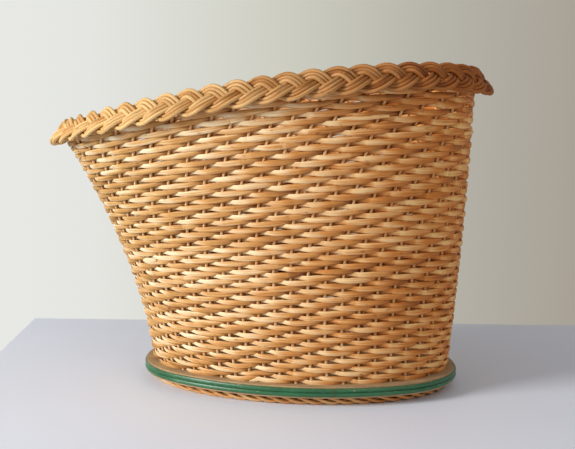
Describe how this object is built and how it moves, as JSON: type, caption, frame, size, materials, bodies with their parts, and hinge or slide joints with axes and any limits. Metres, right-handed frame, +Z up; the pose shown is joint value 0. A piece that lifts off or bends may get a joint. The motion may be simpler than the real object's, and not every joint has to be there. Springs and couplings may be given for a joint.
{
  "type": "wicker basket",
  "caption": "Oval woven cane basket: flared wall with a sloping plaited rim, wooden base board with a painted edge band and a woven foot border.",
  "frame": {"origin": "on the ground, under the middle of the rim", "axes": "+Z up, +X towards the high end of the rim, +Y towards the back"},
  "size_m": [0.4356, 0.2879, 0.3172],
  "materials": {
    "cane": "satin",
    "stake_cane": "satin",
    "board_wood": "matt",
    "band_paint": "gloss paint"
  },
  "bodies": {
    "root": {"base_board": "board_wood", "edge_band": "band_paint", "stakes": "stake_cane", "weave_round_01": "cane", "weave_round_02": "cane", "weave_round_03": "cane", "weave_round_04": "cane", "weave_round_05": "cane", "weave_round_06": "cane", "weave_round_07": "cane", "weave_round_08": "cane", "weave_round_09": "cane", "weave_round_10": "cane", "weave_round_11": "cane", "weave_round_12": "cane", "weave_round_13": "cane", "weave_round_14": "cane", "weave_round_15": "cane", "weave_round_16": "cane", "weave_round_17": "cane", "weave_round_18": "cane", "weave_round_19": "cane", "weave_round_20": "cane", "plait_strand_1": "cane", "plait_strand_2": "cane", "plait_strand_3": "cane"}
  },
  "joints": []
}
